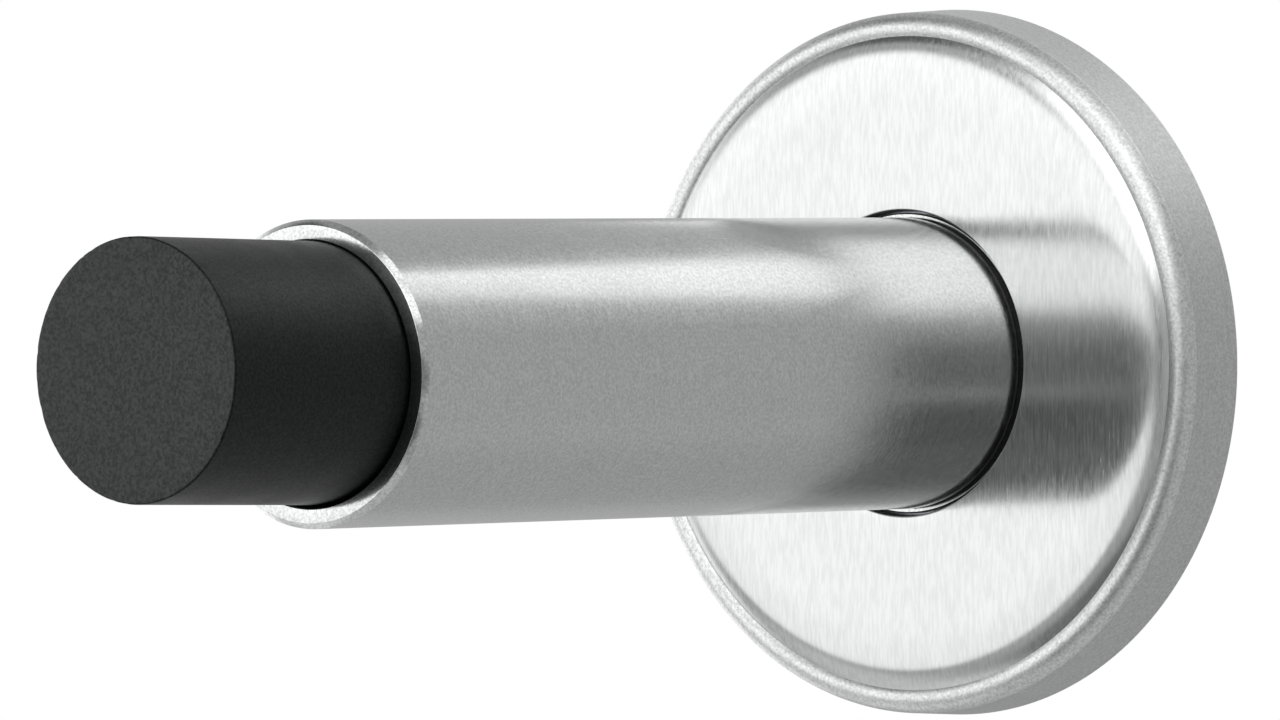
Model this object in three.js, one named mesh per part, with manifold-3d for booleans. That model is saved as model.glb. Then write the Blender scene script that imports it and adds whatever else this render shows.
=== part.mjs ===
// Wall-mounted door stop: a steel tube with a rubber buffer, on a base plate under a push-on cover rose.
// Millimetres, +Z up. The wall is the plane y = 0 and the stop stands out of it along -Y.
// Profiles are written as [radius, forward], where forward is the distance from the wall.
import * as THREE from 'three';
import { mergeVertices } from 'three/addons/utils/BufferGeometryUtils.js';
import Module from 'manifold-3d';

const wasm = await Module();
wasm.setup();

// Driving dimensions
const PROJECTION = 93; // wall to the buffer's face
const TUBE_R = 11;
const TUBE_WALL = 1.5;
const BUFFER_OUT = 18.4; // buffer standing out of the tube
const BUFFER_IN = 14; // buffer's plug inside the tube
const ROSE_R = 26.75;
const ROSE_DEPTH = 6.6; // wall to the rose's face, at its hole
const SHEET = 1; // rose's sheet thickness
const PLATE_R = 24.9;
const PLATE_T = 1.8;
const WALL_SCREW_CIRCLE_R = 19;
const WALL_SCREW_HOLE_R = 2.3;
const GAP = 0.1; // between faces that bear on each other
const SLIP = 0.2; // round a plug in a bore
const RUBBER_SLIP = 0.12; // round the buffer in the bore
const HOLE_SLIP = 0.55; // round the tube in the rose's hole
const TUBE_SUNK = 0.5; // tube's end, behind the rose's face
const DISH_GAP = 0.3; // between the plate's dish and the rose's sheet

// Worked out from them
const BORE_R = TUBE_R - TUBE_WALL;
const TUBE_FRONT = PROJECTION - BUFFER_OUT;
const TUBE_REAR = ROSE_DEPTH - TUBE_SUNK;
const ROSE_HOLE_R = TUBE_R + HOLE_SLIP;
const DISH_FRONT = ROSE_DEPTH - SHEET - DISH_GAP;
const DISH_REAR = DISH_FRONT - PLATE_T;
const TURN = 2 * Math.PI;
const WIDE = 60; // segments round the rose and the plate
const MIDDLE = 48; // segments round the tube and what fits it
const NARROW = 32; // segments round a small piece
const FINE = 16; // segments round a rivet

// Finishes, from the outside in
function finish(color, roughness, metalness) {
  return new THREE.MeshStandardMaterial({ color, roughness, metalness });
}
const SATIN_STEEL = () => finish(0xb9bbbc, 0.34, 1);
const TURNED_STEEL = () => finish(0xa9acb0, 0.3, 1);
const ZINC_PLATE = () => finish(0xb4b8bd, 0.42, 1);
const SPRING_STEEL = () => finish(0x8d9095, 0.35, 1);
const ALUMINIUM = () => finish(0xc2c4c6, 0.45, 1);
const RUBBER = () => finish(0x333436, 0.85, 0);
const NYLON = () => finish(0x1d1e20, 0.6, 0);

// Outline helpers. A corner is [x, y] or [x, y, radius]; a radius rounds it with an arc of so many steps.
function rounded(corners, steps = 5) {
  const points = [];
  corners.forEach(([x, y, radius], i) => {
    const here = new THREE.Vector2(x, y);
    if (!radius) {
      points.push(here);
      return;
    }
    const before = corners.at(i - 1);
    const after = corners[(i + 1) % corners.length];
    const back = new THREE.Vector2(before[0] - x, before[1] - y).normalize();
    const on = new THREE.Vector2(after[0] - x, after[1] - y).normalize();
    const half = Math.acos(THREE.MathUtils.clamp(back.dot(on), -1, 1)) / 2;
    const centre = here.clone().addScaledVector(back.clone().add(on).normalize(), radius / Math.sin(half));
    const from = here.clone().addScaledVector(back, radius / Math.tan(half)).sub(centre).angle();
    const to = here.clone().addScaledVector(on, radius / Math.tan(half)).sub(centre).angle();
    let sweep = to - from;
    if (sweep > Math.PI) sweep -= TURN;
    if (sweep < -Math.PI) sweep += TURN;
    points.push(...arc(centre.x, centre.y, radius, from, from + sweep, steps));
  });
  return points;
}

function arc(x, y, radius, from, to, steps) {
  return Array.from({ length: steps + 1 }, (_, i) => {
    const angle = from + ((to - from) * i) / steps;
    return new THREE.Vector2(x + radius * Math.cos(angle), y + radius * Math.sin(angle));
  });
}

// Four profile corners of a groove with sloping sides round a plug.
function groove(radius, middle) {
  const depth = 0.5;
  const half = 1;
  const slope = 0.3;
  return [
    [radius, middle - half],
    [radius - depth, middle - half + slope],
    [radius - depth, middle + half - slope],
    [radius, middle + half],
  ];
}

// A closed profile of [radius, forward] points turned about the stop's axis.
function turned(profile, segments = WIDE) {
  const outline = profile.map((p) => new THREE.Vector2(Math.max(p.x, 0), -p.y));
  const clockwise = THREE.ShapeUtils.area(outline) < 0;
  if (clockwise) outline.reverse();
  outline.push(outline[0].clone());
  return new THREE.LatheGeometry(outline, segments);
}

// An outline in X and Z pushed forward from one distance to another.
function pushed(shape, from, to, curveSegments = NARROW) {
  const depth = to - from;
  const geometry = new THREE.ExtrudeGeometry(shape, { depth, bevelEnabled: false, curveSegments });
  return geometry.rotateX(Math.PI / 2).translate(0, -from, 0);
}

// Solids: joins and cuts
function solid(geometry) {
  const bare = geometry.clone();
  bare.deleteAttribute('normal');
  bare.deleteAttribute('uv');
  const merged = mergeVertices(bare, 1e-4);
  const corners = [];
  const index = merged.index.array;
  for (let i = 0; i < index.length; i += 3) {
    const [a, b, c] = [index[i], index[i + 1], index[i + 2]];
    if (a !== b && b !== c && c !== a) corners.push(a, b, c);
  }
  const vertProperties = Float32Array.from(merged.attributes.position.array);
  const triVerts = Uint32Array.from(corners);
  return new wasm.Manifold(new wasm.Mesh({ numProp: 3, vertProperties, triVerts }));
}

function geometryOf(manifold) {
  const { vertProperties, triVerts } = manifold.getMesh();
  const geometry = new THREE.BufferGeometry();
  geometry.setAttribute('position', new THREE.BufferAttribute(Float32Array.from(vertProperties), 3));
  geometry.setIndex(new THREE.BufferAttribute(Uint32Array.from(triVerts), 1));
  geometry.computeVertexNormals();
  return geometry;
}

function cut(body, tools) {
  return geometryOf(tools.reduce((rest, tool) => rest.subtract(solid(tool)), solid(body)));
}

function join(body, other) {
  return geometryOf(solid(body).add(solid(other)));
}

const stop = new THREE.Group();

function place(name, geometry, material, group = stop) {
  const mesh = new THREE.Mesh(geometry, material);
  mesh.name = name;
  group.add(mesh);
  return mesh;
}

// Tube: a flat annulus and a bevel at the free end, a small chamfer at the rear
function makeTube() {
  const bevel = 0.4;
  const rearChamfer = 0.3;
  const edgeBreak = 0.1;
  const profile = rounded([
    [BORE_R, TUBE_REAR],
    [TUBE_R - rearChamfer, TUBE_REAR],
    [TUBE_R, TUBE_REAR + rearChamfer],
    [TUBE_R, TUBE_FRONT - bevel],
    [TUBE_R - bevel, TUBE_FRONT],
    [BORE_R + edgeBreak, TUBE_FRONT],
    [BORE_R, TUBE_FRONT - edgeBreak],
  ]);
  place('stop_tube', turned(profile, MIDDLE), SATIN_STEEL());
}

// Buffer: a face that the door meets, a ribbed plug in the bore, and a stem through the seat
const SEAT_FRONT = TUBE_FRONT - BUFFER_IN - 2 * GAP;
const SEAT_T = 4;
const STEM_R = 3.5;
function makeBuffer() {
  const radius = BORE_R - RUBBER_SLIP;
  const faceEdge = 0.45;
  const plugEnd = TUBE_FRONT - BUFFER_IN;
  const plugChamfer = 0.6;
  const stemEnd = SEAT_FRONT - SEAT_T - 3.5;
  const stemTaper = 0.8;
  const stemTaperLength = 2;
  const middles = [plugEnd + 0.3 * BUFFER_IN, plugEnd + 0.65 * BUFFER_IN];
  const profile = rounded([
    [0, stemEnd],
    [STEM_R - stemTaper, stemEnd, 0.5],
    [STEM_R, stemEnd + stemTaperLength],
    [STEM_R, plugEnd],
    [radius - plugChamfer, plugEnd],
    [radius, plugEnd + plugChamfer],
    ...middles.flatMap((middle) => groove(radius, middle)),
    [radius, PROJECTION, faceEdge],
    [0, PROJECTION],
  ], 3);
  place('rubber_buffer', turned(profile, MIDDLE), RUBBER());
}

// Seat: a moulded disc with a hole for the stem, pressed in the bore behind the buffer
function makeSeat() {
  const radius = BORE_R - SLIP;
  const holeR = STEM_R + 0.3;
  const chamfer = 0.4;
  const rear = SEAT_FRONT - SEAT_T;
  const profile = rounded([
    [holeR, rear],
    [radius - chamfer, rear],
    [radius, rear + chamfer],
    [radius, SEAT_FRONT],
    [holeR + chamfer, SEAT_FRONT],
    [holeR, SEAT_FRONT - chamfer],
  ]);
  place('buffer_seat', turned(profile, MIDDLE), NYLON());
}

// Rose: a flat face with a round hole, falling to a crease, a rolled rim and a flared skirt
function makeRose() {
  const lip = 0.15;
  const flare = 0.25; // how much wider the skirt is at the wall
  const skirtR = ROSE_R - flare;
  const rimTurn = 1.2; // rim is a part circle from the crease to the skirt
  const rimR = skirtR - rimTurn;
  const rimFront = ROSE_DEPTH - 0.54;
  const rimLean = Math.PI / 6; // of its wall at the crease
  const creaseR = rimR - rimTurn * Math.sin(rimLean);
  const creaseFront = rimFront - rimTurn * (1 - Math.cos(rimLean));
  const fallFrom = 18.5;
  const fallSteps = 9;
  const fall = Array.from({ length: fallSteps }, (_, i) => {
    const share = i / fallSteps;
    const radius = fallFrom + (creaseR - fallFrom) * share;
    return [radius, ROSE_DEPTH - (ROSE_DEPTH - creaseFront) * share ** 5];
  });
  const rim = arc(rimR, rimFront - rimTurn, rimTurn, Math.PI / 2 + rimLean, 0, 10);
  const profile = rounded([
    [ROSE_HOLE_R, ROSE_DEPTH - SHEET],
    [ROSE_HOLE_R, ROSE_DEPTH, lip],
    ...fall,
    ...rim.map((p) => [p.x, p.y]),
    [ROSE_R, lip],
    [ROSE_R - lip, 0],
    [ROSE_R - SHEET, 0],
    [skirtR - SHEET, rimFront - 1.2 * SHEET, 0.3],
    [fallFrom + 4, ROSE_DEPTH - SHEET, 2],
  ], 3);
  place('cover_rose', turned(profile), SATIN_STEEL());
}

// A round boss with two flats, which keeps the spigot from turning in the plate
const BOSS_R = 5;
const BOSS_FLAT = 4.2;
function bossOutline(clearance) {
  const radius = BOSS_R + clearance;
  const half = Math.acos((BOSS_FLAT + clearance) / radius);
  const shape = new THREE.Shape();
  shape.absarc(0, 0, radius, half, Math.PI - half, false);
  shape.absarc(0, 0, radius, Math.PI + half, TURN - half, false);
  shape.closePath();
  return shape;
}

// Three places round the axis, and the tools that stand at them
const WALL_SCREW_ANGLES = [90, 210, 330];
const CLIP_ANGLES = [30, 150, 270];
const CLIP_WIDTH = 7;
const CLIP_T = 0.4;
const RIVET_R = 1;
const RIVET_HOLE_R = RIVET_R + 0.15;
const RIVET_SINK = 0.75; // depth of the countersink that the rivet's tail fills
const RIVET_CIRCLE_R = 19.5;
function around(geometry, radius, degrees) {
  return geometry.clone().translate(radius, 0, 0).rotateY(-THREE.MathUtils.degToRad(degrees));
}

// Base plate: dished in the centre for the spigot's screw, countersunk for the wall screws
function makePlate() {
  const dishR = 12;
  const footR = 13.6;
  const wall = 1.4; // dish's front and rear walls, measured along the radius
  const proud = 1; // how far a cutting tool stands out of the plate
  const body = turned(rounded([
    [0, DISH_REAR],
    [dishR - wall, DISH_REAR, 0.6],
    [footR - wall, 0],
    [PLATE_R, 0],
    [PLATE_R, PLATE_T, 0.5],
    [footR, PLATE_T, 0.6],
    [dishR, DISH_FRONT, 1],
    [0, DISH_FRONT],
  ], 3));
  const sinkRear = 0.1;
  const sinkEnd = PLATE_T + proud;
  const wallHole = turned(rounded([
    [0, -proud],
    [WALL_SCREW_HOLE_R, -proud],
    [WALL_SCREW_HOLE_R, sinkRear],
    [WALL_SCREW_HOLE_R + sinkEnd - sinkRear, sinkEnd],
    [0, sinkEnd],
  ]), NARROW);
  const rivetHole = turned(rounded([
    [0, -proud],
    [RIVET_HOLE_R + RIVET_SINK + proud, -proud],
    [RIVET_HOLE_R, RIVET_SINK],
    [RIVET_HOLE_R, PLATE_T + proud],
    [0, PLATE_T + proud],
  ]), FINE);
  const notchFrom = 23;
  const notchLength = PLATE_R - notchFrom + 2 * proud;
  const notchWidth = CLIP_WIDTH + 0.6;
  const notch = new THREE.BoxGeometry(notchLength, 2 * (PLATE_T + proud), notchWidth);
  notch.translate(notchLength / 2, 0, 0);
  const tools = [
    pushed(bossOutline(0.15), DISH_REAR - proud, DISH_FRONT + proud),
    ...WALL_SCREW_ANGLES.map((angle) => around(wallHole, WALL_SCREW_CIRCLE_R, angle)),
    ...CLIP_ANGLES.map((angle) => around(rivetHole, RIVET_CIRCLE_R, angle)),
    ...CLIP_ANGLES.map((angle) => around(notch, notchFrom, angle)),
  ];
  place('base_plate', cut(body, tools), ZINC_PLATE());
}

// Spigot: a collar that the tube stands on, a grooved stem glued in the bore, a boss and a tapped hole
const SCREW_R = 2.9;
const SPIGOT_END = 20;
function makeSpigot() {
  const collarRear = DISH_FRONT + GAP;
  const collarFront = TUBE_REAR - GAP;
  const collarR = ROSE_HOLE_R - SLIP;
  const edge = 0.2;
  const stemR = BORE_R - SLIP;
  const stemChamfer = 0.8;
  const grooveMiddles = [10, 14];
  const body = turned(rounded([
    [0, collarRear],
    [collarR - edge, collarRear],
    [collarR, collarRear + edge],
    [collarR, collarFront - edge],
    [collarR - edge, collarFront],
    [stemR, collarFront],
    ...grooveMiddles.flatMap((middle) => groove(stemR, middle)),
    [stemR, SPIGOT_END - stemChamfer],
    [stemR - stemChamfer, SPIGOT_END],
    [0, SPIGOT_END],
  ]), MIDDLE);
  const boss = pushed(bossOutline(0), DISH_REAR + GAP, collarRear + 0.5);
  const tappedR = SCREW_R + SLIP;
  const drillEnd = SPIGOT_END - 3;
  const tapped = turned(rounded([
    [0, 0],
    [tappedR, 0],
    [tappedR, drillEnd - tappedR / 2],
    [0, drillEnd],
  ]), NARROW);
  place('tube_spigot', cut(join(body, boss), [tapped]), TURNED_STEEL());
}

// Screw from behind, with a hexagon socket in a button head, and its toothed washer
const WASHER_FRONT = DISH_REAR - GAP;
const WASHER_T = 0.6;
function makeScrew() {
  const headFront = WASHER_FRONT - WASHER_T - GAP;
  const headRear = 0.3;
  const headR = 5.25;
  const crown = 1.6; // how much smaller the head is at the rear
  const length = 12;
  const tip = 0.5;
  const socketR = 2.31;
  const socketDepth = 1.3;
  const body = turned(rounded([
    [0, headRear],
    [headR - crown, headRear],
    [headR, headRear + 1, 0.9],
    [headR, headFront],
    [SCREW_R, headFront],
    [SCREW_R, headFront + length - tip],
    [SCREW_R - tip, headFront + length],
    [0, headFront + length],
  ], 3), NARROW);
  const hexagon = new THREE.Shape(arc(0, 0, socketR, 0, TURN, 6).slice(0, -1));
  const socket = pushed(hexagon, headRear - 1, headRear + socketDepth);
  place('spigot_screw', cut(body, [socket]), ZINC_PLATE());
}

function makeWasher() {
  const teeth = 12;
  const rootR = 5.8;
  const tipR = 7.2;
  const holeR = SCREW_R + 0.3;
  const outline = Array.from({ length: 4 * teeth }, (_, i) => {
    const radius = i % 4 < 2 ? tipR : rootR;
    const angle = ((i + 0.5) / (4 * teeth)) * TURN;
    return new THREE.Vector2(radius * Math.cos(angle), radius * Math.sin(angle));
  });
  const star = new THREE.Shape(outline);
  star.holes.push(new THREE.Path().absarc(0, 0, holeR, 0, TURN, true));
  place('lock_washer', pushed(star, WASHER_FRONT - WASHER_T, WASHER_FRONT), SPRING_STEEL());
}

// Clips: a riveted foot, and a leg through the plate's notch whose bow grips the rose's skirt
function makeClips() {
  const footY = PLATE_T + GAP + CLIP_T / 2;
  const footFrom = 16.6;
  const footTo = 23.2;
  const bendOut = 0.3;
  const bowY = 1.2;
  const tipIn = 0.9;
  const tipY = 0.4;
  const cornerR = ROSE_R - SHEET - 0.15; // the flat leg meets the round skirt at its two corners
  const bowR = Math.sqrt(cornerR ** 2 - (CLIP_WIDTH / 2) ** 2) - CLIP_T / 2;
  const path = new THREE.Path();
  path.moveTo(footFrom, footY);
  path.lineTo(footTo, footY);
  path.quadraticCurveTo(bowR - bendOut, footY, bowR, bowY);
  path.quadraticCurveTo(bowR - 0.1, (bowY + tipY) / 2, bowR - tipIn, tipY);
  const line = path.getPoints(6);
  const side = (sign) => line.map((p, i) => {
    const along = line[Math.min(i + 1, line.length - 1)].clone().sub(line[Math.max(i - 1, 0)]).normalize();
    return new THREE.Vector2(p.x - (sign * along.y * CLIP_T) / 2, -p.y - (sign * along.x * CLIP_T) / 2);
  });
  const outline = new THREE.Shape([...side(1), ...side(-1).reverse()]);
  const strip = new THREE.ExtrudeGeometry(outline, { depth: CLIP_WIDTH, bevelEnabled: false });
  strip.translate(0, 0, -CLIP_WIDTH / 2);
  const hole = new THREE.CylinderGeometry(RIVET_HOLE_R, RIVET_HOLE_R, 3 * PLATE_T, FINE);
  const clip = cut(strip, [hole.translate(RIVET_CIRCLE_R, 0, 0)]);
  const headRear = footY + CLIP_T / 2 + GAP;
  const headFront = headRear + 0.7;
  const headR = 1.9;
  const tailRear = 0.1;
  const rivet = turned(rounded([
    [0, tailRear],
    [RIVET_R + RIVET_SINK - tailRear, tailRear],
    [RIVET_R, RIVET_SINK],
    [RIVET_R, headRear],
    [headR, headRear],
    [headR, headFront, 0.4],
    [0, headFront],
  ], 3), FINE);
  CLIP_ANGLES.forEach((degrees, i) => {
    const seat = new THREE.Group();
    seat.rotation.y = -THREE.MathUtils.degToRad(degrees);
    stop.add(seat);
    place(`rose_clip_${i + 1}`, clip, SPRING_STEEL(), seat);
    place(`clip_rivet_${i + 1}`, rivet, ALUMINIUM(), seat).position.x = RIVET_CIRCLE_R;
  });
}

makeTube();
makeBuffer();
makeSeat();
makeRose();
makePlate();
makeSpigot();
makeScrew();
makeWasher();
makeClips();

export default stop;
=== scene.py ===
"""Wall-mounted door stop: the looks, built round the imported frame.

Metres, +Z up. The wall is the plane y = 0 and the stop stands out of it along -Y. Profiles are lists of
(radius, forward) in millimetres, where forward is the distance from the wall.
"""
import math

import bmesh
import bpy
from mathutils import Matrix, Vector, noise


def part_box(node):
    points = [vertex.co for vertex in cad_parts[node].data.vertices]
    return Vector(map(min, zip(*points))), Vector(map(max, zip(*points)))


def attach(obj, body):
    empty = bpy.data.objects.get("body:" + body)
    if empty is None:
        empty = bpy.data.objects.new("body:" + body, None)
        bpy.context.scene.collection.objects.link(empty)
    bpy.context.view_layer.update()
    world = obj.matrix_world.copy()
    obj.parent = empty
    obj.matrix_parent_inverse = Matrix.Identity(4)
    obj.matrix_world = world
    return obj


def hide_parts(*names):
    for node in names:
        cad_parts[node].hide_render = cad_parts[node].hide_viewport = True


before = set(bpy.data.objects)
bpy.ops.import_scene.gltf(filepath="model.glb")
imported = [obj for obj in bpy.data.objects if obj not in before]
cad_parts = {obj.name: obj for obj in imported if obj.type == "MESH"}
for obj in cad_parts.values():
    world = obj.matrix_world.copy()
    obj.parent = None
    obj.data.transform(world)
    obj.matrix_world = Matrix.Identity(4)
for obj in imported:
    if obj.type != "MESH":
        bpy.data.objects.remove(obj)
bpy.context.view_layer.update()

MM = 0.001
TURN = 2 * math.pi
WIDE = 256  # segments round the rose and the plate
MIDDLE = 192  # segments round the tube and what fits it
NARROW = 96  # segments round a small piece

# ---------------------------------------------------------------- sizes in millimetres


def reach(node):
    """(largest radius, rear, front) of a CAD node, in millimetres, the last two measured from the wall."""
    low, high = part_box(node)
    return high.x / MM, -high.y / MM, -low.y / MM


# Read from the frame
TUBE_R, TUBE_REAR, TUBE_FRONT = reach("stop_tube")
BUFFER_R, BUFFER_REAR, PROJECTION = reach("rubber_buffer")
SEAT_R, SEAT_REAR, SEAT_FRONT = reach("buffer_seat")
ROSE_R, _, ROSE_DEPTH = reach("cover_rose")
PLATE_R, _, DISH_FRONT = reach("base_plate")
COLLAR_R, BOSS_REAR, SPIGOT_END = reach("tube_spigot")
HEAD_R, HEAD_REAR, SCREW_END = reach("spigot_screw")
WASHER_R, WASHER_REAR, WASHER_FRONT = reach("lock_washer")

# The same as in the CAD
TUBE_WALL = 1.5
BORE_R = TUBE_R - TUBE_WALL
GAP = 0.1  # between faces that bear on each other
SLIP = 0.2  # round a plug in a bore
HOLE_SLIP = 0.55  # round the tube in the rose's hole
SHEET = 1.0  # rose's sheet thickness
ROSE_HOLE_R = TUBE_R + HOLE_SLIP
PLATE_T = 1.8
DISH_REAR = DISH_FRONT - PLATE_T
CLIP_ANGLES = (30, 150, 270)
WALL_SCREW_ANGLES = (90, 210, 330)
WALL_SCREW_CIRCLE_R = 19
WALL_SCREW_HOLE_R = 2.3
RIVET_CIRCLE_R = 19.5
RIVET_R = 1.0
RIVET_HOLE_R = RIVET_R + 0.15
RIVET_SINK = 0.75  # depth of the countersink that the rivet's tail fills
CLIP_WIDTH = 7
SCREW_R = 2.9
STEM_R = 3.5  # buffer's stem
BOSS_R = 5.0
BOSS_FLAT = 4.2  # from the axis to the boss's two flats

# ---------------------------------------------------------------- outlines


def arc(x, y, radius, start, end, steps):
    """Points on an arc, angles in radians."""
    angles = [start + (end - start) * i / steps for i in range(steps + 1)]
    return [(x + radius * math.cos(a), y + radius * math.sin(a)) for a in angles]


def curve(a, b, c, steps):
    """Points on a quadratic curve from a to c, bent towards b."""
    shares = [i / steps for i in range(steps + 1)]
    return [a * (1 - t) ** 2 + b * 2 * t * (1 - t) + c * t ** 2 for t in shares]


def rounded(corners, steps=6):
    """A closed outline whose corners (x, y, radius) are rounded by arcs; a corner (x, y) stays sharp."""
    points = []
    for i, corner in enumerate(corners):
        here = Vector(corner[:2])
        if len(corner) < 3:
            points.append(tuple(here))
            continue
        radius = corner[2]
        back = (Vector(corners[i - 1][:2]) - here).normalized()
        on = (Vector(corners[(i + 1) % len(corners)][:2]) - here).normalized()
        half = math.acos(max(-1, min(1, back.dot(on)))) / 2
        centre = here + (back + on).normalized() * radius / math.sin(half)
        first = here + back * radius / math.tan(half) - centre
        last = here + on * radius / math.tan(half) - centre
        start = math.atan2(first.y, first.x)
        sweep = math.atan2(last.y, last.x) - start
        sweep = (sweep + math.pi) % TURN - math.pi
        points += arc(centre.x, centre.y, radius, start, start + sweep, steps)
    return points


# ---------------------------------------------------------------- mesh helpers


SHARP = 35  # degrees between faces that meet at a sharp edge


def finish_mesh(name, bm, sharp=SHARP):
    """The bmesh as an object in the scene: smooth, with edges steeper than so many degrees kept sharp."""
    bmesh.ops.recalc_face_normals(bm, faces=bm.faces)
    mesh = bpy.data.meshes.new(name)
    bm.to_mesh(mesh)
    bm.free()
    mesh.shade_smooth()
    mesh.set_sharp_from_angle(angle=math.radians(sharp))
    piece = bpy.data.objects.new(name, mesh)
    bpy.context.scene.collection.objects.link(piece)
    weighted = piece.modifiers.new("weighted normals", "WEIGHTED_NORMAL")
    weighted.keep_sharp = True
    return piece


def turned_mesh(profile, segments):
    """A bmesh of a closed (radius, forward) profile turned about the stop's axis."""
    bm = bmesh.new()
    rings = []
    for radius, forward in profile:
        if radius < 1e-6:
            rings.append([bm.verts.new((0, -forward * MM, 0))])
            continue
        angles = [TURN * i / segments for i in range(segments)]
        ring = [(radius * math.cos(a) * MM, -forward * MM, radius * math.sin(a) * MM) for a in angles]
        rings.append([bm.verts.new(place) for place in ring])
    for one, other in zip(rings, rings[1:] + rings[:1]):
        if len(one) == len(other) == 1:
            continue
        for i in range(segments):
            j = (i + 1) % segments
            corners = [one[i % len(one)], other[i % len(other)], other[j % len(other)], one[j % len(one)]]
            bm.faces.new(dict.fromkeys(corners))
    return bm


def turned(name, profile, segments, body, material, replaces):
    """A piece turned from a profile, with everything that dress gives it."""
    piece = finish_mesh(name, turned_mesh(profile, segments))
    return dress(piece, body, material, replaces)


def dress(piece, body, material, replaces):
    """Gives a piece its material and its body, and hides the CAD node it stands for."""
    piece.data.materials.clear()
    piece.data.materials.append(material)
    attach(piece, body)
    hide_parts(replaces)
    return piece


def pushed_mesh(outline, start, end):
    """A bmesh of an outline in X and Z, in millimetres, pushed from one distance from the wall to another."""
    bm = bmesh.new()
    rear = [bm.verts.new((x * MM, -start * MM, z * MM)) for x, z in outline]
    front = [bm.verts.new((x * MM, -end * MM, z * MM)) for x, z in outline]
    bm.faces.new(rear)
    bm.faces.new(front)
    for i in range(len(outline)):
        j = (i + 1) % len(outline)
        bm.faces.new((rear[i], rear[j], front[j], front[i]))
    bmesh.ops.recalc_face_normals(bm, faces=bm.faces)
    return bm


def around(bm, radius, degrees):
    """Moves a tool out from the axis by a radius in millimetres and round it by an angle from +X towards +Z."""
    bm.transform(Matrix.Translation((radius * MM, 0, 0)))
    bm.transform(Matrix.Rotation(-math.radians(degrees), 4, "Y"))
    return bm


def cut(piece, tools, operation="DIFFERENCE"):
    """Subtracts each bmesh tool from the piece for good, or joins it."""
    for tool in tools:
        bmesh.ops.recalc_face_normals(tool, faces=tool.faces)
        mesh = bpy.data.meshes.new("tool")
        tool.to_mesh(mesh)
        tool.free()
        cutter = bpy.data.objects.new("tool", mesh)
        bpy.context.scene.collection.objects.link(cutter)
        boolean = piece.modifiers.new("cut", "BOOLEAN")
        boolean.object = cutter
        boolean.solver = "EXACT"
        boolean.operation = operation
        with bpy.context.temp_override(object=piece, active_object=piece):
            bpy.ops.object.modifier_move_to_index(modifier="cut", index=0)
            bpy.ops.object.modifier_apply(modifier="cut")
        bpy.data.objects.remove(cutter)
        bpy.data.meshes.remove(mesh)
    piece.data.set_sharp_from_angle(angle=math.radians(SHARP))


# ---------------------------------------------------------------- materials


class Nodes:
    """Short calls for building a material's node tree."""

    def __init__(self, name):
        self.material = bpy.data.materials.new(name)
        self.material.use_nodes = True
        self.tree = self.material.node_tree
        self.shader = self.tree.nodes["Principled BSDF"]

    def add(self, kind, inputs=None, **settings):
        """A new node with its inputs fed and its settings made."""
        node = self.tree.nodes.new(kind)
        for key, value in settings.items():
            setattr(node, key, value)
        for key, value in (inputs or {}).items():
            self.feed(node, key, value)
        return node

    def feed(self, node, key, value):
        """Links a socket to a node's input, or sets the input to a value."""
        if isinstance(value, bpy.types.NodeSocket):
            self.tree.links.new(value, node.inputs[key])
        else:
            node.inputs[key].default_value = value

    def math(self, operation, *values):
        """The result of an operation on one or two numbers or sockets."""
        return self.add("ShaderNodeMath", dict(enumerate(values)), operation=operation).outputs[0]

    def noise(self, vector, scale, detail=3, rough=0.5):
        """Noise from 0 to 1, with so many lumps to a metre."""
        inputs = {"Vector": vector, "Scale": scale, "Detail": detail, "Roughness": rough}
        return self.add("ShaderNodeTexNoise", inputs).outputs["Fac"]

    def speckle(self, vector):
        """A fine even grain, about a fifth of a millimetre across, from 0 to 1."""
        return self.spread(self.noise(vector, 4500, 2), 0, 1, 0.35, 0.65)

    def spread(self, value, low, high, start=0.3, end=0.7):
        """A value between start and end spread between low and high."""
        inputs = {"Value": value, "From Min": start, "From Max": end, "To Min": low, "To Max": high}
        return self.add("ShaderNodeMapRange", inputs).outputs["Result"]

    def mix(self, factor, a, b):
        """A colour between a and b."""
        inputs = {"Factor": factor, "A": a, "B": b}
        return self.add("ShaderNodeMix", inputs, data_type="RGBA").outputs["Result"]

    def place(self):
        """The point's place on the piece, in metres: every piece's origin is the object's."""
        return self.add("ShaderNodeTexCoord").outputs["Object"]

    def stretched(self, vector, x, y, z):
        """A point's place with its three parts scaled."""
        return self.add("ShaderNodeMapping", {"Vector": vector, "Scale": (x, y, z)}).outputs["Vector"]

    def polar(self, vector):
        """(angle round the stop's axis, radius, Y) of a point."""
        parts = self.add("ShaderNodeSeparateXYZ", {"Vector": vector}).outputs
        angle = self.math("ARCTAN2", parts["Z"], parts["X"])
        squares = [self.math("MULTIPLY", parts[axis], parts[axis]) for axis in "XZ"]
        radius = self.math("SQRT", self.math("ADD", *squares))
        joined = self.add("ShaderNodeCombineXYZ", {"X": angle, "Y": radius, "Z": parts["Y"]})
        return joined.outputs["Vector"]

    def bump(self, height, distance, strength=1.0, normal=None):
        """A bump so many millimetres deep."""
        inputs = {"Height": height, "Distance": distance * MM, "Strength": strength}
        if normal is not None:
            inputs["Normal"] = normal
        return self.add("ShaderNodeBump", inputs).outputs["Normal"]

    def direction(self, x, y, z):
        """A fixed vector."""
        return self.add("ShaderNodeCombineXYZ", {"X": x, "Y": y, "Z": z}).outputs["Vector"]


def grey(value, tint=(1, 1, 1)):
    """A tinted grey, as a node takes it."""
    return (value * tint[0], value * tint[1], value * tint[2], 1)


STEEL_TINT = (0.985, 1.0, 0.996)
RUBBER_TINT = (0.92, 1.0, 0.975)
ZINC_TINT = (0.96, 0.99, 1.05)
UPRIGHT = "upright"  # brushed straight up and down
ROUND = "round"  # brushed round the stop's axis


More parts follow.
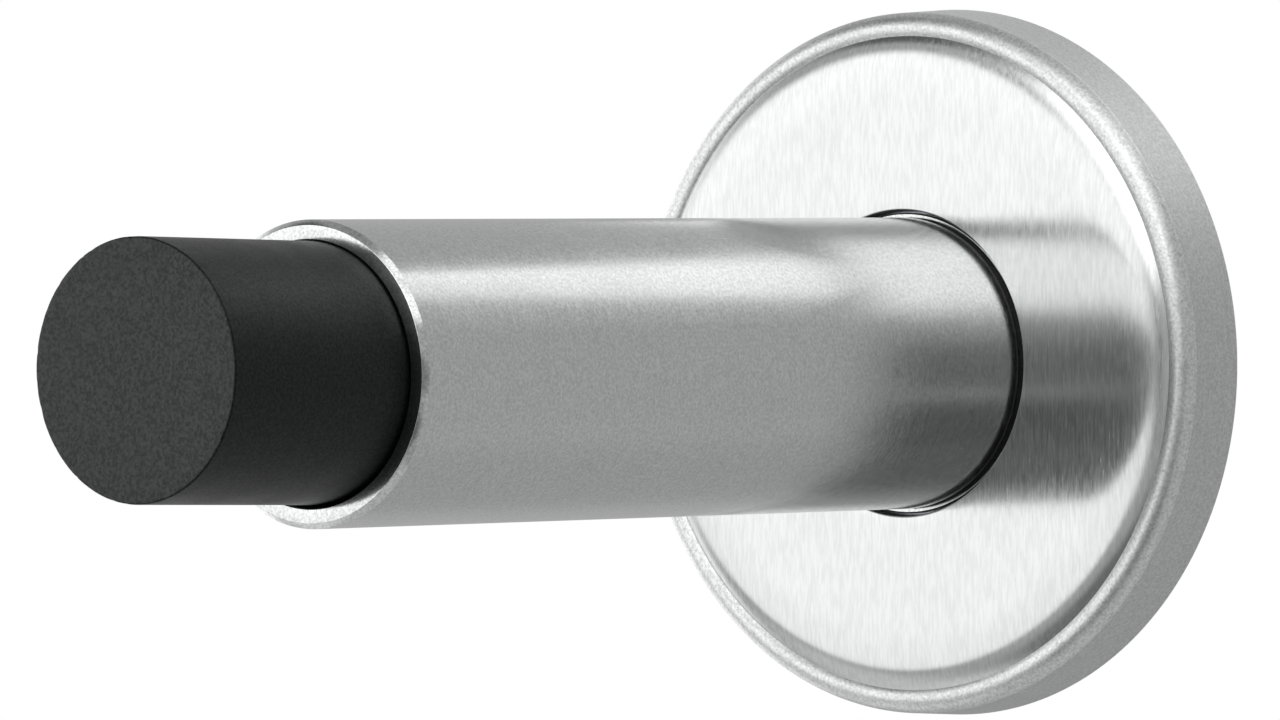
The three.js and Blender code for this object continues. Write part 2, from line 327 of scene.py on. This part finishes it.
def brushed_steel(name, base, roughness, grain, anisotropy, depth, wear=0.05, contrast=0.2):
    """Steel with fine brush lines, a bump so many millimetres deep. Wear is how much the roughness varies, and
    contrast how much the colour does. The highlight spreads across the lines, along the tangent."""
    n = Nodes(name)
    place = n.place()
    # Lines in a metre along X, Y and Z, or in a radian round the axis and a metre along the radius and Y
    if grain == UPRIGHT:
        lines = n.stretched(place, 9000, 9000, 800)
        broad = n.stretched(place, 2600, 2600, 90)
        specks = n.stretched(place, 1, 1, 0.15)
        tangent = n.direction(1.0, 0.0, 0.0)
    else:
        polar = n.polar(place)
        lines = n.stretched(polar, 14, 8000, 8000)
        broad = n.stretched(polar, 2, 2600, 2600)
        specks = place
        tangent = n.direction(0.0, 1.0, 0.0)
    fine = n.noise(lines, 1.0, 4, 0.7)
    coarse = n.noise(broad, 1.0, 3, 0.6)
    patches = n.noise(place, 110, 3)
    streaks = n.math("ADD", n.math("MULTIPLY", fine, 0.8), n.math("MULTIPLY", coarse, 0.2))
    worn = n.math("ADD", n.math("MULTIPLY", n.spread(streaks, 0, 1), 0.45),
                  n.math("MULTIPLY", n.speckle(specks), 0.55))
    colour = n.mix(worn, grey(base * (1 - contrast), STEEL_TINT), grey(base * (1 + contrast), STEEL_TINT))
    n.feed(n.shader, "Base Color", colour)
    uneven = n.math("ADD", n.spread(streaks, -wear, 3 * wear), n.spread(patches, -wear / 2, wear / 2))
    n.feed(n.shader, "Roughness", n.math("ADD", uneven, roughness))
    n.feed(n.shader, "Metallic", 1.0)
    n.feed(n.shader, "Anisotropic", anisotropy)
    n.feed(n.shader, "Tangent", tangent)
    n.feed(n.shader, "Normal", n.bump(streaks, depth))
    return n.material


def polished_steel(name, base, roughness, depth):
    """Steel buffed bright, with fine cross scratches and small nicks that catch the light."""
    n = Nodes(name)
    place = n.place()
    scratches = n.noise(n.stretched(n.polar(place), 160, 9000, 9000), 1.0, 4, 0.75)
    nicks = n.noise(place, 3200, 2)
    pits = n.spread(nicks, 0, 1, 0.62, 0.72)
    patches = n.noise(place, 300, 3)
    bright = n.mix(n.speckle(place), grey(base * 0.85, STEEL_TINT), grey(base * 1.15, STEEL_TINT))
    colour = n.mix(pits, bright, grey(base * 0.75, STEEL_TINT))
    n.feed(n.shader, "Base Color", colour)
    rough = n.math("ADD", n.spread(patches, -0.04, 0.05), n.spread(scratches, -0.03, 0.03))
    n.feed(n.shader, "Roughness", n.math("ADD", rough, roughness))
    n.feed(n.shader, "Metallic", 1.0)
    dents = n.bump(pits, depth * 2, 0.5)
    n.feed(n.shader, "Normal", n.bump(scratches, depth, 1.0, dents))
    return n.material


def plain_metal(name, base, roughness, tint, grain_scale, depth):
    """A plated or rolled metal: a mottled surface with a fine even grain."""
    n = Nodes(name)
    place = n.place()
    grain = n.noise(place, grain_scale, 4, 0.6)
    patches = n.noise(place, 160, 3)
    colour = n.mix(n.spread(patches, 0, 1), grey(base * 0.85, tint), grey(base * 1.1, tint))
    n.feed(n.shader, "Base Color", colour)
    uneven = n.math("ADD", n.spread(grain, -0.05, 0.05), n.spread(patches, -0.04, 0.04))
    n.feed(n.shader, "Roughness", n.math("ADD", uneven, roughness))
    n.feed(n.shader, "Metallic", 1.0)
    n.feed(n.shader, "Normal", n.bump(grain, depth))
    return n.material


def moulded_rubber(name, base, gloss, roughness):
    """Matte black rubber with a fine moulded grain, faint rings and a paler bloom in patches."""
    n = Nodes(name)
    place = n.place()
    grain = n.noise(place, 7000, 4, 0.65)
    bloom = n.noise(place, 260, 4, 0.6)
    rings = n.noise(n.stretched(n.polar(place), 2, 1200, 1200), 1.0, 3, 0.6)
    speckle = n.speckle(place)
    mottle = n.math("ADD", n.math("MULTIPLY", speckle, 0.7),
                    n.math("MULTIPLY", n.spread(bloom, 0, 1), 0.3))
    colour = n.mix(mottle, grey(base * 0.6, RUBBER_TINT), grey(base * 1.4, RUBBER_TINT))
    n.feed(n.shader, "Base Color", colour)
    uneven = n.math("ADD", n.spread(grain, -0.05, 0.05), n.spread(bloom, -0.04, 0.04))
    n.feed(n.shader, "Roughness", n.math("ADD", uneven, roughness))
    n.feed(n.shader, "Specular IOR Level", n.spread(speckle, gloss * 0.75, gloss * 1.25, 0, 1))
    n.feed(n.shader, "Specular Tint", grey(1, RUBBER_TINT))
    soft = n.bump(rings, 0.004)
    n.feed(n.shader, "Normal", n.bump(grain, 0.012, 1.0, soft))
    return n.material


def black_nylon():
    """Moulded nylon with a faint even mottle."""
    n = Nodes("black nylon")
    mottle = n.noise(n.place(), 2500, 3)
    n.feed(n.shader, "Base Color", n.mix(mottle, grey(0.014), grey(0.024)))
    n.feed(n.shader, "Roughness", n.spread(mottle, 0.4, 0.55))
    n.feed(n.shader, "Normal", n.bump(mottle, 0.01))
    return n.material


TUBE_STEEL = brushed_steel("satin steel", 0.6, 0.13, ROUND, 0.75, 0.001, 0.04)
FACE_STEEL = brushed_steel("upright brushed steel", 0.61, 0.13, UPRIGHT, 0.8, 0.001, 0.05, 0.1)
# The skirt's steel is a little darker than the face's: painted shade on the skirt
SHADED_SKIRT_STEEL = brushed_steel("skirt steel with painted shade", 0.57, 0.42, ROUND, 0.2, 0.0012)
TURNED_STEEL = brushed_steel("turned steel", 0.6, 0.22, ROUND, 0.4, 0.003)
# Near-black steel for the tube's end in the rose's hole and for the hole's wall: painted shade in the gap
# between them
GAP_SHADE_STEEL = brushed_steel("steel painted dark as gap shade", 0.16, 0.5, ROUND, 0.2, 0.003)
# The rim's steel is lighter than the face's: painted light on the rim
LIT_RIM_STEEL = polished_steel("polished rim with painted light", 0.66, 0.38, 0.005)
EDGE_STEEL = polished_steel("polished edge", 0.62, 0.12, 0.0012)
ZINC = plain_metal("zinc plate", 0.5, 0.36, ZINC_TINT, 1500, 0.01)
SCREW_ZINC = plain_metal("screw zinc", 0.46, 0.3, ZINC_TINT, 2500, 0.006)
SPRING = plain_metal("spring steel", 0.34, 0.28, STEEL_TINT, 2500, 0.004)
ALUMINIUM = plain_metal("rivet aluminium", 0.62, 0.4, STEEL_TINT, 2500, 0.008)
# One rubber in two copies: the side's colour is much darker than the face's, painted shade on the side and
# painted light on the face
SHADED_SIDE_RUBBER = moulded_rubber("rubber side with painted shade", 0.0035, 0.2, 0.38)
LIT_FACE_RUBBER = moulded_rubber("rubber face with painted light", 0.0155, 0.36, 0.45)
NYLON = black_nylon()

# ---------------------------------------------------------------- pieces


def paint_faces(piece, material, wanted):
    """Adds a material and gives it to the faces that wanted(radius, forward, normal) picks, in millimetres."""
    piece.data.materials.append(material)
    slot = len(piece.data.materials) - 1
    for face in piece.data.polygons:
        radius = math.hypot(face.center.x, face.center.z) / MM
        if wanted(radius, -face.center.y / MM, face.normal):
            face.material_index = slot


def make_tube():
    """A flat annulus and a bevel at the free end, both polished, and a small chamfer at the rear."""
    bevel = 0.4
    chamfer = 0.3
    edge_break = 0.1
    soft = 0.06
    profile = rounded([
        (BORE_R, TUBE_REAR, soft),
        (TUBE_R - chamfer, TUBE_REAR, soft),
        (TUBE_R, TUBE_REAR + chamfer, soft),
        (TUBE_R, ROSE_DEPTH),
        (TUBE_R, TUBE_FRONT - bevel, soft),
        (TUBE_R - bevel, TUBE_FRONT, soft),
        (BORE_R + edge_break, TUBE_FRONT, soft),
        (BORE_R, TUBE_FRONT - edge_break, soft),
    ], 3)
    piece = turned("stop_tube_shell", profile, MIDDLE, "base", TUBE_STEEL, "stop_tube")
    front = TUBE_FRONT - bevel + soft / 2
    paint_faces(piece, EDGE_STEEL, lambda r, forward, n: forward > front)
    # The tube inside the rose's hole is painted near black: painted shade in the gap round it
    paint_faces(piece, GAP_SHADE_STEEL, lambda r, forward, n: forward < ROSE_DEPTH)


def groove(radius, middle):
    """Four profile corners of a groove with sloping sides round a plug."""
    depth = 0.5
    half = 1
    slope = 0.3
    soft = 0.1
    return [
        (radius, middle - half, soft),
        (radius - depth, middle - half + slope, soft),
        (radius - depth, middle + half - slope, soft),
        (radius, middle + half, soft),
    ]


def make_buffer():
    """A flat face with a slightly worn edge, standing a little askew in the bore, a ribbed plug and a stem."""
    radius = BUFFER_R
    plug_in = 14
    plug_end = TUBE_FRONT - plug_in
    plug_chamfer = 0.6
    stem_taper = 0.8
    stem_taper_length = 2
    face_edge = 0.18
    ring_step = 4  # between the rings along the bare side
    profile = rounded([
        (0, BUFFER_REAR),
        (STEM_R - stem_taper, BUFFER_REAR, 0.5),
        (STEM_R, BUFFER_REAR + stem_taper_length, 0.5),
        (STEM_R, plug_end),
        (radius - plug_chamfer, plug_end, 0.1),
        (radius, plug_end + plug_chamfer, 0.1),
        *groove(radius, plug_end + 0.3 * plug_in),
        *groove(radius, plug_end + 0.65 * plug_in),
        *[(radius, TUBE_FRONT + i * ring_step) for i in range(5)],
        (radius, PROJECTION, face_edge),
        *[(radius * share, PROJECTION) for share in (0.9, 0.8, 0.6, 0.4, 0.2)],
        (0, PROJECTION),
    ])
    bm = turned_mesh(profile, WIDE)
    worn = 0.04  # deepest wear on the face's edge
    wide_wear = 1.3  # patches of wear in a millimetre
    fine_wear = 5
    for vert in bm.verts:
        away = math.hypot(vert.co.x, vert.co.z) / MM
        forward = -vert.co.y / MM
        if away > radius - 2 * face_edge and forward > PROJECTION - 2 * face_edge:
            patch = noise.noise(Vector((vert.co.x, 0, vert.co.z)) / MM * wide_wear)
            chip = max(0, patch + 0.5 * noise.noise(vert.co / MM * fine_wear))
            shrink = 1 - chip * worn / radius
            vert.co.x *= shrink
            vert.co.z *= shrink
            vert.co.y += chip * worn * MM
    raised = 0.1  # above the bore's middle, in millimetres
    askew = math.tan(math.radians(1.25))  # rise in each millimetre that it stands out
    for vert in bm.verts:
        out = max(0, -vert.co.y - TUBE_FRONT * MM)
        vert.co.z += raised * MM + askew * out
    piece = finish_mesh("buffer_rubber", bm)
    # The side's darker rubber is painted shade, and the face's lighter rubber is painted light
    dress(piece, "buffer", SHADED_SIDE_RUBBER, "rubber_buffer")
    just_behind = PROJECTION - 0.03
    paint_faces(piece, LIT_FACE_RUBBER, lambda r, forward, n: forward > just_behind)


def make_seat():
    """A disc with a hole for the buffer's stem."""
    hole = STEM_R + 0.3
    chamfer = 0.4
    soft = 0.1
    profile = rounded([
        (hole, SEAT_REAR, soft),
        (SEAT_R - chamfer, SEAT_REAR, soft),
        (SEAT_R, SEAT_REAR + chamfer, soft),
        (SEAT_R, SEAT_FRONT, soft),
        (hole + chamfer, SEAT_FRONT, soft),
        (hole, SEAT_FRONT - chamfer, soft),
    ])
    turned("seat_disc", profile, MIDDLE, "base", NYLON, "buffer_seat")


def make_rose():
    """A flat brushed face that falls to a crease, a rolled rim a little proud of the crease, a flared skirt."""
    lip = 0.15
    flare = 0.25  # how much wider the skirt is at the wall
    skirt_r = ROSE_R - flare
    rim_turn = 1.2  # rim is a part circle from the crease to the skirt
    rim_r = skirt_r - rim_turn
    rim_front = ROSE_DEPTH - 0.54
    lean = math.radians(30)  # of the rim's wall at the crease
    crease_r = rim_r - rim_turn * math.sin(lean)
    crease_drop = ROSE_DEPTH - rim_front + rim_turn * (1 - math.cos(lean))
    flat_rings = (12.5, 13.5, 15, 17)
    fall_from = 18.5
    fall_steps = 36
    shares = [i / fall_steps for i in range(fall_steps)]
    fall = [(fall_from + (crease_r - fall_from) * t, ROSE_DEPTH - crease_drop * t ** 5) for t in shares]
    inside = ROSE_DEPTH - SHEET
    profile = rounded([
        (ROSE_HOLE_R, inside, 0.08),
        (ROSE_HOLE_R, ROSE_DEPTH, lip),
        *[(r, ROSE_DEPTH) for r in flat_rings],
        *fall,
        *arc(rim_r, rim_front - rim_turn, rim_turn, math.pi / 2 + lean, 0, 40),
        (ROSE_R, lip, 0.1),
        (ROSE_R - lip, 0, 0.05),
        (ROSE_R - SHEET, 0, 0.1),
        (skirt_r - SHEET, rim_front - 1.2 * SHEET, 0.3),
        (fall_from + 4, inside, 2),
    ], 16)
    piece = turned("rose_shell", profile, WIDE, "rose", FACE_STEEL, "cover_rose")
    skirt = rim_front - rim_turn
    # The rim's lighter colour is painted light
    paint_faces(piece, LIT_RIM_STEEL, lambda r, forward, n: r > crease_r and forward > skirt)
    # The skirt's darker colour is painted shade
    paint_faces(piece, SHADED_SKIRT_STEEL, lambda r, forward, n: r > crease_r and forward <= skirt)
    # The hole's wall is painted near black: painted shade in the gap round the tube
    hole_wall = ROSE_HOLE_R + 0.04
    inner_face = inside + 0.05
    paint_faces(piece, GAP_SHADE_STEEL, lambda r, forward, n: r < hole_wall)
    paint_faces(piece, TURNED_STEEL, lambda r, forward, n: n.y > 0.1 and forward < inner_face)


def boss_outline(clearance):
    """A circle with two flats, above and below."""
    radius = BOSS_R + clearance
    half = math.acos((BOSS_FLAT + clearance) / radius)
    upper = arc(0, 0, radius, half, math.pi - half, 24)
    lower = arc(0, 0, radius, math.pi + half, TURN - half, 24)
    return upper + lower


def make_plate():
    """Dished in the centre for the spigot's screw, countersunk for the wall screws, notched for the clips."""
    dish_r = 12
    foot_r = 13.6
    wall = 1.4  # dish's front and rear walls, measured along the radius
    proud = 1  # how far a cutting tool stands out of the plate
    piece = turned("base_plate_pressing", rounded([
        (0, DISH_REAR),
        (dish_r - wall, DISH_REAR, 0.8),
        (foot_r - wall, 0, 0.5),
        (PLATE_R, 0, 0.15),
        (PLATE_R, PLATE_T, 0.5),
        (foot_r, PLATE_T, 0.8),
        (dish_r, DISH_FRONT, 1),
        (0, DISH_FRONT),
    ]), WIDE, "base", ZINC, "base_plate")
    sink_rear = 0.1
    sink_end = PLATE_T + proud
    wall_hole = [(0, -proud), (WALL_SCREW_HOLE_R, -proud), (WALL_SCREW_HOLE_R, sink_rear),
                 (WALL_SCREW_HOLE_R + sink_end - sink_rear, sink_end), (0, sink_end)]
    rivet_hole = [(0, -proud), (RIVET_HOLE_R + RIVET_SINK + proud, -proud), (RIVET_HOLE_R, RIVET_SINK),
                  (RIVET_HOLE_R, sink_end), (0, sink_end)]
    notch_from = 23
    notch_length = 4
    half = CLIP_WIDTH / 2 + 0.3
    notch = [(0, -half), (notch_length, -half), (notch_length, half), (0, half)]
    boss_slip = 0.15
    tools = [pushed_mesh(boss_outline(boss_slip), DISH_REAR - proud, DISH_FRONT + proud)]
    for angle in WALL_SCREW_ANGLES:
        tools.append(around(turned_mesh(wall_hole, NARROW), WALL_SCREW_CIRCLE_R, angle))
    for angle in CLIP_ANGLES:
        tools.append(around(turned_mesh(rivet_hole, NARROW), RIVET_CIRCLE_R, angle))
        tools.append(around(pushed_mesh(notch, -proud, sink_end), notch_from, angle))
    cut(piece, tools)


def make_spigot():
    """A collar that the tube stands on, a grooved stem, a boss through the plate and a tapped hole."""
    collar_rear = DISH_FRONT + GAP
    collar_front = TUBE_REAR - GAP
    edge = 0.2
    stem = BORE_R - SLIP
    chamfer = 0.8
    groove_middles = (10, 14)
    piece = turned("spigot_turning", rounded([
        (0, collar_rear),
        (COLLAR_R - edge, collar_rear, 0.05),
        (COLLAR_R, collar_rear + edge, 0.05),
        (COLLAR_R, collar_front - edge / 2, 0.05),
        (COLLAR_R - edge / 2, collar_front, 0.05),
        (stem, collar_front),
        *[corner for middle in groove_middles for corner in groove(stem, middle)],
        (stem, SPIGOT_END - chamfer, 0.2),
        (stem - chamfer, SPIGOT_END, 0.2),
        (0, SPIGOT_END),
    ]), MIDDLE, "base", EDGE_STEEL, "tube_spigot")
    tapped = SCREW_R + SLIP
    drill_end = SPIGOT_END - 3
    hole = [(0, 0), (tapped, 0), (tapped, drill_end - tapped / 2), (0, drill_end)]
    boss = pushed_mesh(boss_outline(0), BOSS_REAR, collar_rear + 0.5)
    cut(piece, [boss], "UNION")
    cut(piece, [turned_mesh(hole, NARROW)])
    rear_face = collar_rear + 0.01
    stem_side = BUFFER_R + 0.1
    paint_faces(piece, TURNED_STEEL, lambda r, forward, n: forward < rear_face or r < stem_side)


def threaded(radius, depth, pitch, start, end):
    """A bmesh rod with a helical thread, from one distance from the wall to another."""
    around_steps = 32
    along_steps = round((end - start) / pitch * 8)  # eight to a turn of the thread
    tip = 0.5  # how much smaller the rod is at its end
    taper_length = 0.8
    bm = bmesh.new()
    rings = []
    for i in range(along_steps + 1):
        forward = start + (end - start) * i / along_steps
        taper = min(1, (end - forward) / taper_length)
        ring = []
        for j in range(around_steps):
            phase = (forward / pitch + j / around_steps) % 1
            r = radius - tip * (1 - taper) - depth * taper * abs(2 * phase - 1)
            a = TURN * j / around_steps
            ring.append(bm.verts.new((r * math.cos(a) * MM, -forward * MM, r * math.sin(a) * MM)))
        rings.append(ring)
    for one, other in zip(rings, rings[1:]):
        for j in range(around_steps):
            k = (j + 1) % around_steps
            bm.faces.new((one[j], other[j], other[k], one[k]))
    bm.faces.new(rings[0])
    bm.faces.new(rings[-1])
    return bm


def make_screw():
    """A button head with a hexagon socket, and a threaded shank."""
    head_front = WASHER_REAR - GAP
    crown = 1.6  # how much smaller the head is at the rear
    neck_front = head_front + 0.6
    socket_r = 2.31
    socket_depth = 1.3
    piece = turned("spigot_screw_head", rounded([
        (0, HEAD_REAR),
        (HEAD_R - crown, HEAD_REAR, 0.3),
        (HEAD_R, HEAD_REAR + 1, 0.9),
        (HEAD_R, head_front, 0.1),
        (SCREW_R, head_front),
        (SCREW_R, neck_front),
        (0, neck_front),
    ], 8), NARROW, "base", SCREW_ZINC, "spigot_screw")
    hexagon = arc(0, 0, socket_r, 0, TURN, 6)[:-1]
    cut(piece, [pushed_mesh(hexagon, HEAD_REAR - 1, HEAD_REAR + socket_depth)])
    depth = 0.35
    pitch = 0.8
    start = head_front + 0.4
    thread = finish_mesh("spigot_screw_thread", threaded(SCREW_R, depth, pitch, start, SCREW_END), sharp=60)
    dress(thread, "base", SCREW_ZINC, "spigot_screw")


def make_washer():
    """A flat ring with twelve teeth round it, each twisted a little out of the ring's plane."""
    teeth = 12
    hole = SCREW_R + 0.3
    root = 5.8
    root_width = 1.9
    tip_width = 1.7
    sunk = 0.3  # tooth's root in the ring
    tooth_share = 0.8  # of the ring's thickness
    edge = 0.05
    twist = math.radians(9)
    soft = 0.06
    thick = WASHER_FRONT - WASHER_REAR
    bm = turned_mesh(rounded([
        (hole, WASHER_REAR, soft), (root, WASHER_REAR, soft),
        (root, WASHER_FRONT, soft), (hole, WASHER_FRONT, soft),
    ], 3), NARROW)
    middle = (WASHER_REAR + WASHER_FRONT) / 2
    for i in range(teeth):
        tooth = bmesh.new()
        bmesh.ops.create_cube(tooth, size=1)
        for vert in tooth.verts:
            x, y, z = vert.co
            radius = root - sunk if x < 0 else WASHER_R
            across = z * (root_width if x < 0 else tip_width)
            deep = y * thick * tooth_share
            turn = 0 if x < 0 else twist
            vert.co = Vector((radius, deep * math.cos(turn) - across * math.sin(turn) - middle,
                              across * math.cos(turn) + deep * math.sin(turn))) * MM
        bmesh.ops.bevel(tooth, geom=list(tooth.edges), offset=edge * MM, segments=2, affect="EDGES")
        around(tooth, 0, (i + 0.5) * 360 / teeth)
        part = bpy.data.meshes.new("tooth")
        tooth.to_mesh(part)
        tooth.free()
        bm.from_mesh(part)
        bpy.data.meshes.remove(part)
    piece = finish_mesh("spigot_lock_washer", bm)
    dress(piece, "base", SPRING, "lock_washer")


def make_clips():
    """Each clip is a riveted foot and a leg through the plate's notch, whose bow grips the rose's skirt."""
    thick = 0.4
    half = CLIP_WIDTH / 2
    foot = PLATE_T + GAP + thick / 2
    corner_r = ROSE_R - SHEET - 0.15  # the flat leg meets the round skirt at its two corners
    bow_r = math.sqrt(corner_r ** 2 - half ** 2) - thick / 2
    start = Vector((16.6, foot))
    heel = Vector((23.2, foot))
    bow = Vector((bow_r, 1.2))
    tip = Vector((bow_r - 0.9, 0.4))
    foot_steps = 6
    line = [start.lerp(heel, i / foot_steps) for i in range(foot_steps)]
    line += curve(heel, Vector((bow_r - 0.3, foot)), bow, 10)
    line += curve(bow, Vector((bow_r - 0.1, (bow.y + tip.y) / 2)), tip, 8)[1:]
    sides = [[], []]
    for i, point in enumerate(line):
        along = (line[min(i + 1, len(line) - 1)] - line[max(i - 1, 0)]).normalized()
        for side, sign in zip(sides, (1, -1)):
            side.append(point + Vector((along.y, -along.x)) * sign * thick / 2)
    outline = sides[0] + sides[1][::-1]
    tail_rear = 0.1
    head_rear = foot + thick / 2 + GAP
    head_front = head_rear + 0.7
    head_r = 1.9
    rivet = rounded([
        (0, tail_rear),
        (RIVET_R + RIVET_SINK - tail_rear, tail_rear, 0.05),
        (RIVET_R, RIVET_SINK),
        (RIVET_R, head_rear),
        (head_r, head_rear, 0.06),
        (head_r, head_front - 0.25, 0.15),
        (head_r - 0.9, head_front, 0.5),
        (0, head_front),
    ], 8)
    drill_end = 4
    hole = [(0, -1), (RIVET_HOLE_R, -1), (RIVET_HOLE_R, drill_end), (0, drill_end)]
    for i, angle in enumerate(CLIP_ANGLES):
        bm = bmesh.new()
        left = [bm.verts.new((p.x * MM, -p.y * MM, -half * MM)) for p in outline]
        right = [bm.verts.new((p.x * MM, -p.y * MM, half * MM)) for p in outline]
        bm.faces.new(left)
        bm.faces.new(right)
        for j in range(len(outline)):
            k = (j + 1) % len(outline)
            bm.faces.new((left[j], left[k], right[k], right[j]))
        bmesh.ops.recalc_face_normals(bm, faces=bm.faces)
        around(bm, 0, angle)
        clip = finish_mesh(f"clip_strip_{i + 1}", bm)
        cut(clip, [around(turned_mesh(hole, 48), RIVET_CIRCLE_R, angle)])
        edges = clip.modifiers.new("edges", "BEVEL")
        edges.width = 0.06 * MM
        edges.segments = 2
        edges.limit_method = "ANGLE"
        edges.angle_limit = math.radians(50)
        dress(clip, "base", SPRING, f"rose_clip_{i + 1}")
        stud = finish_mesh(f"rivet_{i + 1}", around(turned_mesh(rivet, 64), RIVET_CIRCLE_R, angle))
        dress(stud, "base", ALUMINIUM, f"clip_rivet_{i + 1}")


make_tube()
make_buffer()
make_seat()
make_rose()
make_plate()
make_spigot()
make_screw()
make_washer()
make_clips()

# ---------------------------------------------------------------- camera

AZIMUTH = math.radians(39.5)  # round from straight in front of the buffer, towards +X
ELEVATION = math.radians(0.85)
DISTANCE = 0.845  # metres from the middle of the view
LENS = 325.6
SENSOR = 36
AIM_FORWARD = 44 * MM  # point on the stop's axis near the middle of the view
AIM = (4.06 * MM, 0.67 * MM)  # view's middle, to the right of and above that point


def heading(azimuth, elevation):
    """A unit vector at an angle from +X towards +Y, and at an angle up."""
    flat = math.cos(elevation)
    return Vector((math.cos(azimuth) * flat, math.sin(azimuth) * flat, math.sin(elevation)))


back = heading(AZIMUTH - math.pi / 2, ELEVATION)
right = heading(AZIMUTH, 0)
up = back.cross(right)
camera = bpy.data.objects.new("camera", bpy.data.cameras.new("camera"))
bpy.context.scene.collection.objects.link(camera)
aim = Vector((0, -AIM_FORWARD, 0)) + right * AIM[0] + up * AIM[1]
camera.location = aim + back * DISTANCE
camera.rotation_euler = back.to_track_quat("Z", "Y").to_euler()
camera.data.sensor_width = SENSOR
camera.data.lens = LENS
camera.data.clip_start = 0.01
camera.data.clip_end = 100
bpy.context.scene.camera = camera

# ---------------------------------------------------------------- studio

GENERAL = 0.5  # radiance of the room where there is no lamp
# Soft boxes and black cards far off: (azimuth from +X towards +Y, elevation, half width, half height, all in
# degrees, softness of the edge, radiance). A later one covers an earlier one.
SOFT_BOXES = [
    (0, -90, 55, 55, 0.3, 0.6),
    (205, -50, 30, 14, 0.3, 0.9),
    (20, 60, 35, 13, 0.4, 1.0),
    (300, 52, 20, 14, 0.4, 1.2),
    (328, 65, 22, 12, 0.25, 1.5),
    (168, -3, 30, 30, 0.2, 1.5),
    (216, -32, 12, 12, 0.4, 0.8),
    (236, -2, 36, 17, 0.15, 1.36),
    (228, 10, 32, 12, 0.4, 1.6),
    (312, 38, 18, 10, 0.3, 1.5),
    (276, 30, 22, 21, 0.2, 2.2),
    (206, 45, 22, 12, 0.3, 0.12),
    (200, 72, 25, 12, 0.6, 0.33),
    (296, -1, 34, 12, 0.3, 0.26),
    (288, 2, 7, 14, 0.5, 0.65),
    (270, -40, 22, 14, 0.3, 0.22),
    (300, -28, 16, 12, 0.4, 0.16),
    (325, -46, 20, 7, 0.4, 0.4),
    (95, -38, 25, 8, 0.5, 0.44),
]


def studio_world():
    """White straight behind the object, and the soft boxes for the light that falls on it."""
    world = bpy.data.worlds.new("studio")
    bpy.context.scene.world = world
    world.use_nodes = True
    tree = world.node_tree

    def link(output, node, key):
        tree.links.new(output, node.inputs[key])

    coordinates = tree.nodes.new("ShaderNodeTexCoord")
    thickness = 1.3  # of a box along its own direction, so that it covers one side of the sky
    level = None
    for azimuth, elevation, half_width, half_height, soft, radiance in SOFT_BOXES:
        turn = math.radians(azimuth)
        tilt = math.radians(elevation)
        local = tree.nodes.new("ShaderNodeMapping")
        local.vector_type = "TEXTURE"
        local.inputs["Location"].default_value = heading(turn, tilt)
        local.inputs["Rotation"].default_value = (tilt, 0, turn - math.pi / 2)
        width = math.sin(math.radians(half_width))
        height = math.sin(math.radians(half_height))
        local.inputs["Scale"].default_value = (width, thickness, height)
        link(coordinates.outputs["Generated"], local, "Vector")
        length = tree.nodes.new("ShaderNodeVectorMath")
        length.operation = "LENGTH"
        link(local.outputs["Vector"], length, 0)
        edge = tree.nodes.new("ShaderNodeMapRange")
        edge.interpolation_type = "SMOOTHSTEP"
        edge.inputs["From Min"].default_value = 1 + soft
        edge.inputs["From Max"].default_value = 1 - soft
        link(length.outputs["Value"], edge, "Value")
        cover = tree.nodes.new("ShaderNodeMix")
        cover.inputs["A"].default_value = GENERAL
        cover.inputs["B"].default_value = radiance
        if level is not None:
            link(level, cover, "A")
        link(edge.outputs["Result"], cover, "Factor")
        level = cover.outputs["Result"]
    path = tree.nodes.new("ShaderNodeLightPath")
    shown = tree.nodes.new("ShaderNodeMix")
    shown.inputs["B"].default_value = 1.0
    link(level, shown, "A")
    link(path.outputs["Is Camera Ray"], shown, "Factor")
    link(shown.outputs["Result"], tree.nodes["Background"], "Strength")
    tree.nodes["Background"].inputs["Color"].default_value = grey(1)


def staged(name, corners, material):
    """A flat sheet of the studio, which isn't part of the object."""
    mesh = bpy.data.meshes.new(name)
    mesh.from_pydata([Vector(corner) for corner in corners], [], [range(len(corners))])
    mesh.materials.append(material)
    sheet = bpy.data.objects.new(name, mesh)
    bpy.context.scene.collection.objects.link(sheet)
    return sheet


def glowing(name, radiance):
    """A material that only gives out light."""
    material = bpy.data.materials.new(name)
    material.use_nodes = True
    shader = material.node_tree.nodes["Principled BSDF"]
    shader.inputs["Base Color"].default_value = grey(0)
    shader.inputs["Specular IOR Level"].default_value = 0
    shader.inputs["Emission Color"].default_value = grey(1)
    shader.inputs["Emission Strength"].default_value = radiance
    return material


def bounce_card():
    """A white card close behind the stop and above it, whose slanting edge shows along the tube."""
    distance = 200  # behind the stop, in millimetres
    corners = [(-20, 77), (330, 427), (490, 427), (485, 200), (200, 60)]  # to the right and up
    centre = -back * distance * MM
    points = [centre + (right * x + up * z) * MM for x, z in corners]
    card = staged("bounce card", points, glowing("bounce card", 1.5))
    card.visible_camera = False


def pale_floor():
    """A wide matte floor well below the stop."""
    half = 8  # metres
    level = -1.2
    material = bpy.data.materials.new("floor")
    corners = [(-half, -half, level), (half, -half, level), (half, half, level), (-half, half, level)]
    floor = staged("floor", corners, material)
    material.use_nodes = True
    shader = material.node_tree.nodes["Principled BSDF"]
    shader.inputs["Base Color"].default_value = grey(0.9)
    shader.inputs["Roughness"].default_value = 0.9
    floor.visible_glossy = False


studio_world()
bounce_card()
pale_floor()
bpy.context.scene.view_settings.view_transform = "Standard"
